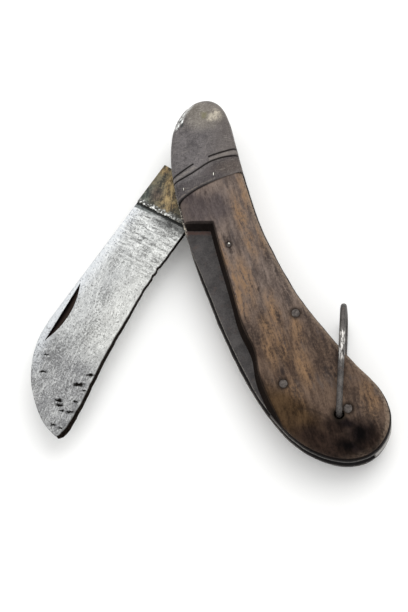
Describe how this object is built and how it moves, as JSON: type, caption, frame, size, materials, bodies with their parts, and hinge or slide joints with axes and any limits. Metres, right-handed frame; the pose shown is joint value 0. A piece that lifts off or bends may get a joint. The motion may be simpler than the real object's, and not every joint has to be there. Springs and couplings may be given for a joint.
{
  "type": "folding pocket knife",
  "caption": "Antique folding knife with a broad pruner-shaped blade, curved wooden handle, iron bolsters, easy-open cut and wire bail.",
  "frame": {"origin": "On the flat rear face of the rear bolster, 11 mm from the blade pivot towards the nose. The rear scale's face lies in the same plane.", "axes": "The knife lies flat with its blade part open. +Z is the direction out of the front scale, +Y points to the nose, and +X to the handle's back."},
  "size_m": [0.108, 0.1155, 0.02],
  "materials": {
    "blade_steel": "old ground carbon steel with fine scratches, pits and a few brown stains",
    "tang_brass": "brass worn to mottled gold, green-grey and brown",
    "liner_iron": "dull dark iron with rust patches and a bright worn edge",
    "spring_steel": "scratched grey steel, stained",
    "bolster_iron": "smooth worn iron, grey-brown with bright rubbed spots",
    "scale_wood": "dark polished hardwood with grey-brown and orange-brown streaks, nearly black near the butt",
    "rivet_iron": "hammered iron rivet heads filed flush",
    "bail_wire": "dark iron wire with bright scratches"
  },
  "bodies": {
    "handle": {"front_liner": "liner_iron", "rear_liner": "liner_iron", "backspring": "spring_steel", "front_bolster": "bolster_iron", "rear_bolster": "bolster_iron", "front_scale": "scale_wood", "rear_scale": "scale_wood", "pivot_pin": "rivet_iron", "spring_pin": "rivet_iron", "butt_rivet": "rivet_iron", "upper_scale_pin_front": "rivet_iron", "upper_scale_pin_rear": "rivet_iron", "lower_scale_pin_front": "rivet_iron", "lower_scale_pin_rear": "rivet_iron", "left_bolster_pin_front": "rivet_iron", "left_bolster_pin_rear": "rivet_iron", "right_bolster_pin_front": "rivet_iron", "right_bolster_pin_rear": "rivet_iron"},
    "blade": {"blade": "blade_steel", "tang_plate_front": "tang_brass", "tang_plate_rear": "tang_brass"},
    "bail": {"bail": "bail_wire"}
  },
  "joints": [
    {"name": "blade_pivot", "type": "hinge", "parent": "handle", "child": "blade", "pos_m": [0, -0.011, 0.0073], "axis": [0, 0, 1], "range_deg": [-128, 52]},
    {"name": "bail_pivot", "type": "hinge", "parent": "handle", "child": "bail", "pos_m": [0.0434, -0.0917, 0.0073], "axis": [0, 0, 1], "range_deg": [-286, 14]}
  ]
}
